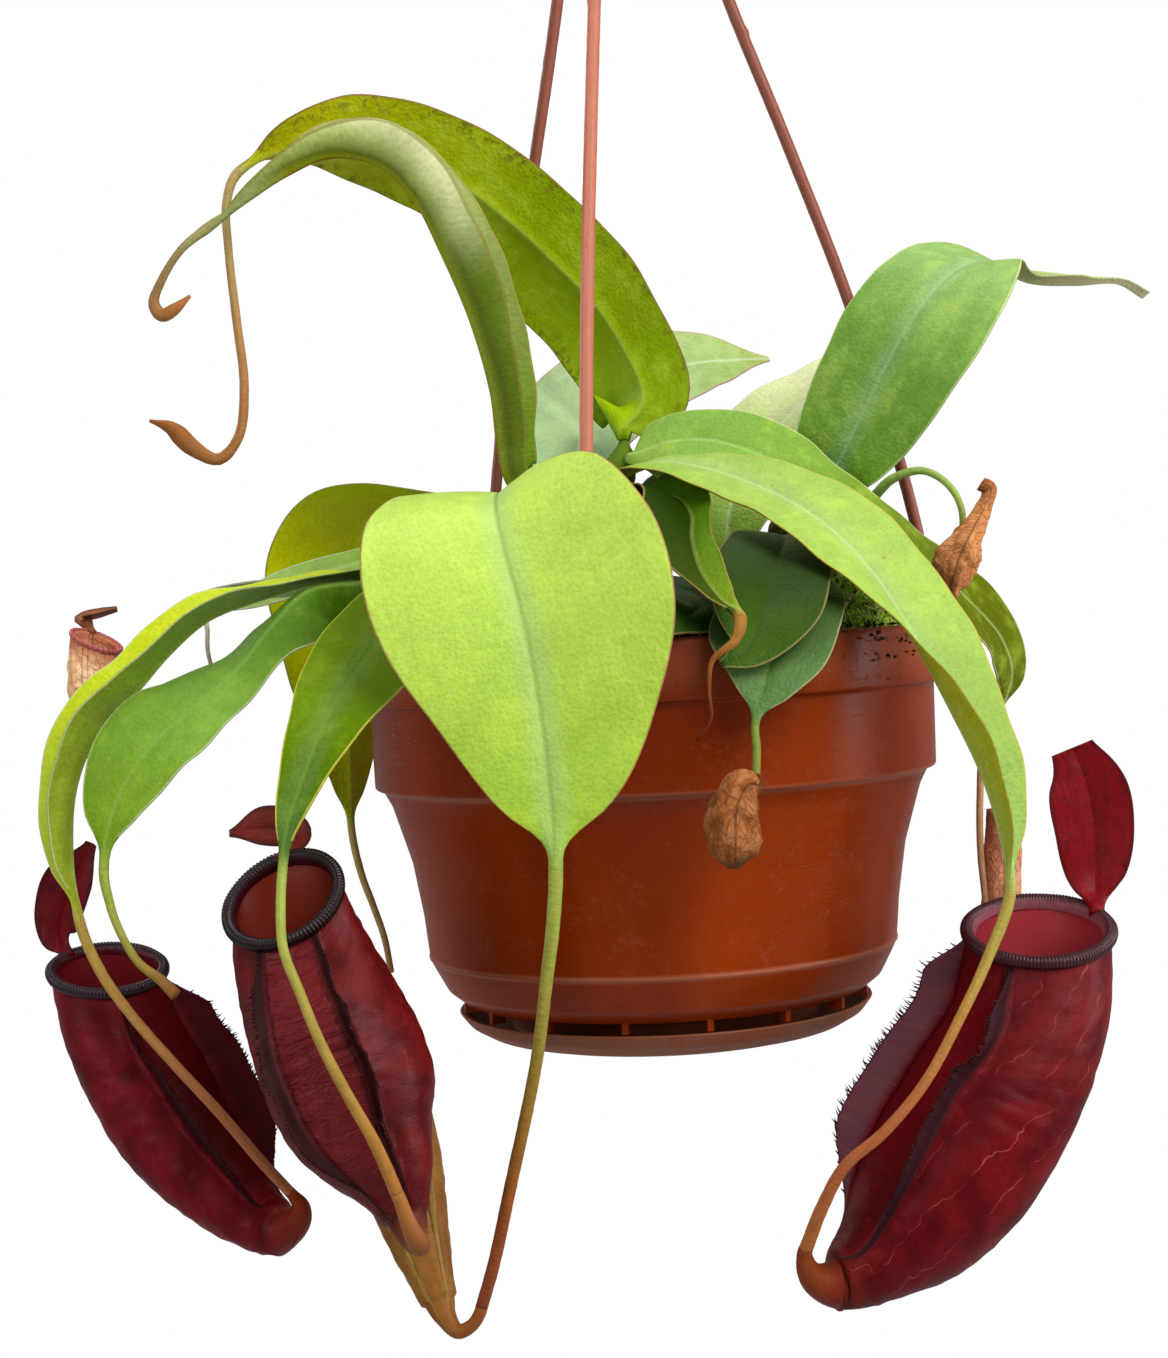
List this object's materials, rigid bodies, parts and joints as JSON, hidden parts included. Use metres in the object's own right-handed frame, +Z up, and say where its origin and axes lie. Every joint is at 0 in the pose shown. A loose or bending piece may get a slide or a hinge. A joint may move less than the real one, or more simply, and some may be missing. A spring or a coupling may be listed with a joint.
{
  "type": "hanging pitcher plant",
  "caption": "Tropical pitcher plant with long arching leaves and hanging maroon pitchers, in a round plastic pot with a clip-on saucer and a three-strand hanger.",
  "frame": {"origin": "the point on the inside of the hook's bend where it rests on the rod, ring or nail that it hangs on; the pot's axis runs straight down through it", "axes": "+Z up along the pot's axis, -Y the side the picture shows, +X to its right"},
  "size_m": [0.2769, 0.1923, 0.427],
  "materials": {
    "pot_plastic": "satin",
    "saucer_plastic": "satin",
    "hanger_plastic": "satin",
    "soil": "matte",
    "stem": "matte",
    "green_leaf": "satin",
    "olive_leaf": "satin",
    "dark_leaf": "satin",
    "pale_leaf": "matte",
    "pitcher_skin": "satin",
    "tan_pitcher": "matte",
    "dry_pitcher": "matte"
  },
  "bodies": {
    "root": {"pot": "pot_plastic", "saucer": "saucer_plastic", "soil": "soil", "hanger_hook": "hanger_plastic", "hanger_strand_front": "hanger_plastic", "hanger_strand_left": "hanger_plastic", "hanger_strand_right": "hanger_plastic", "stem_main": "stem", "stem_side": "stem", "leaf_back_arch": "olive_leaf", "leaf_left_arch": "green_leaf", "leaf_front": "green_leaf", "leaf_right_arch": "green_leaf", "leaf_right_low": "green_leaf", "leaf_upper_right": "green_leaf", "leaf_pale_back": "pale_leaf", "leaf_back": "pale_leaf", "leaf_left_rear": "olive_leaf", "leaf_far_left": "green_leaf", "leaf_twisted_left": "green_leaf", "leaf_lower_left": "dark_leaf", "leaf_small_left": "pale_leaf", "leaf_tip_left": "pale_leaf", "leaf_young_curled": "dark_leaf", "leaf_young_round": "dark_leaf", "leaf_young_front": "dark_leaf", "leaf_young_dark": "dark_leaf", "leaf_narrow_right": "green_leaf", "pitcher_left": "pitcher_skin", "pitcher_front_left": "pitcher_skin", "pitcher_right": "pitcher_skin", "pitcher_behind": "tan_pitcher", "pitcher_dry_left": "dry_pitcher", "pitcher_dry_front": "dry_pitcher", "pitcher_dry_right": "dry_pitcher", "pitcher_dry_rear": "dry_pitcher"}
  },
  "joints": []
}
